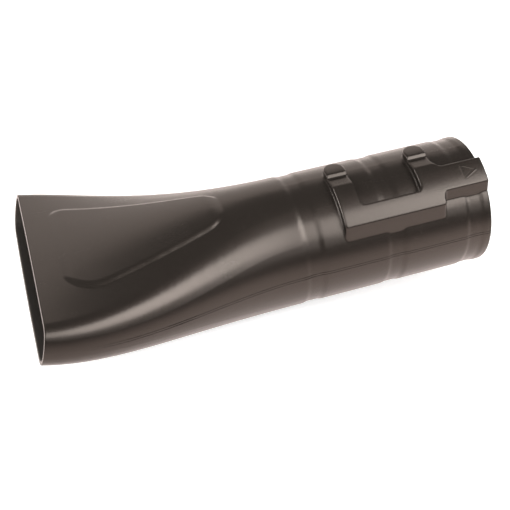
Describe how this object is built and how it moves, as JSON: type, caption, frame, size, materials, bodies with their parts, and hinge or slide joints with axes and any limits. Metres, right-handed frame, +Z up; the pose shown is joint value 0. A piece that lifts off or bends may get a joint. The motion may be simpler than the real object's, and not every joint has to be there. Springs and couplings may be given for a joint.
{
  "type": "leaf blower nozzle tube",
  "caption": "Black plastic blower tube with a round socket, ring grooves, a bayonet track and a bent nozzle that flattens into a wide mouth.",
  "frame": {"origin": "middle of the bounding box's bottom, on the floor that the tube lies on", "axes": "+X towards the mouth, +Y the side of the bayonet track, +Z up from the floor"},
  "size_m": [0.2638, 0.1356, 0.0914],
  "materials": {
    "charcoal_plastic": "satin"
  },
  "bodies": {
    "root": {"nozzle_tube": "charcoal_plastic"}
  },
  "joints": []
}
